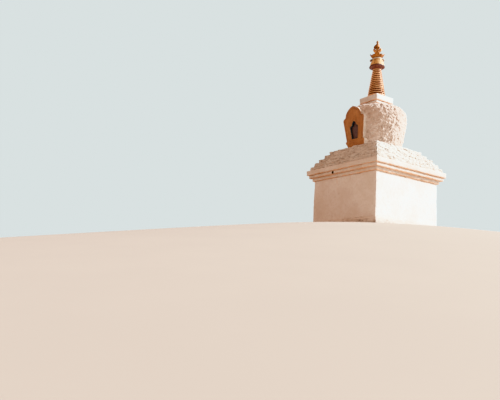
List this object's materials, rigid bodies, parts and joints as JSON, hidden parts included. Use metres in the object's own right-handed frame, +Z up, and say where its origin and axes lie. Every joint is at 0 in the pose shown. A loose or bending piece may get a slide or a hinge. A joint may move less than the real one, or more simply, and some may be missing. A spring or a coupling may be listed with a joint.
{
  "type": "stupa",
  "caption": "Whitewashed masonry stupa: stepped square throne, vase-shaped dome with an ochre gabled niche, square harmika, ringed gilded spire, parasol and jewel finial",
  "frame": {"origin": "centre of the foot, at ground level", "axes": "+Z up; the front, which holds the niche, faces -Y; +X is to the right seen from the front"},
  "size_m": [3.5, 3.5, 7.4035],
  "materials": {
    "whitewashed_plaster": "rough lime plaster",
    "whitewashed_rubble": "rough limewashed rubble",
    "ochre_plaster": "matte ochre paint on plaster",
    "dark_painted_timber": "dark blue paint",
    "brown_timber": "weathered red-brown",
    "gilded_copper": "worn gilding",
    "red_painted_metal": "faded dark red paint",
    "pale_painted_metal": "pale matte paint"
  },
  "bodies": {
    "root": {"base_course": "whitewashed_plaster", "base_band_outer": "whitewashed_plaster", "base_band_inner": "whitewashed_plaster", "throne_wall": "whitewashed_plaster", "cornice_band_inner": "whitewashed_plaster", "cornice_band_outer": "whitewashed_plaster", "cornice_fascia": "whitewashed_plaster", "step_1": "whitewashed_rubble", "step_2": "whitewashed_rubble", "step_3": "whitewashed_rubble", "step_4": "whitewashed_rubble", "step_5": "whitewashed_rubble", "dome_base": "whitewashed_plaster", "dome": "whitewashed_plaster", "niche_plinth": "whitewashed_plaster", "niche_foot": "ochre_plaster", "niche_body": "whitewashed_plaster", "niche_front": "ochre_plaster", "niche_frame": "dark_painted_timber", "niche_panel": "brown_timber", "harmika_lower_course": "whitewashed_plaster", "harmika_upper_course": "whitewashed_plaster", "harmika_slab": "whitewashed_plaster", "spire_base": "gilded_copper", "spire_ring_01": "gilded_copper", "spire_ring_02": "gilded_copper", "spire_ring_03": "gilded_copper", "spire_ring_04": "gilded_copper", "spire_ring_05": "gilded_copper", "spire_ring_06": "gilded_copper", "spire_ring_07": "gilded_copper", "spire_ring_08": "gilded_copper", "spire_ring_09": "gilded_copper", "spire_ring_10": "gilded_copper", "spire_ring_11": "gilded_copper", "spire_ring_12": "gilded_copper", "spire_ring_13": "gilded_copper", "parasol_disc": "red_painted_metal", "parasol_drum": "gilded_copper", "parasol_collar": "pale_painted_metal", "lotus_crown": "gilded_copper", "finial_neck": "gilded_copper", "crescent_moon": "gilded_copper", "sun_disc": "gilded_copper", "flame_jewel": "gilded_copper"}
  },
  "joints": []
}
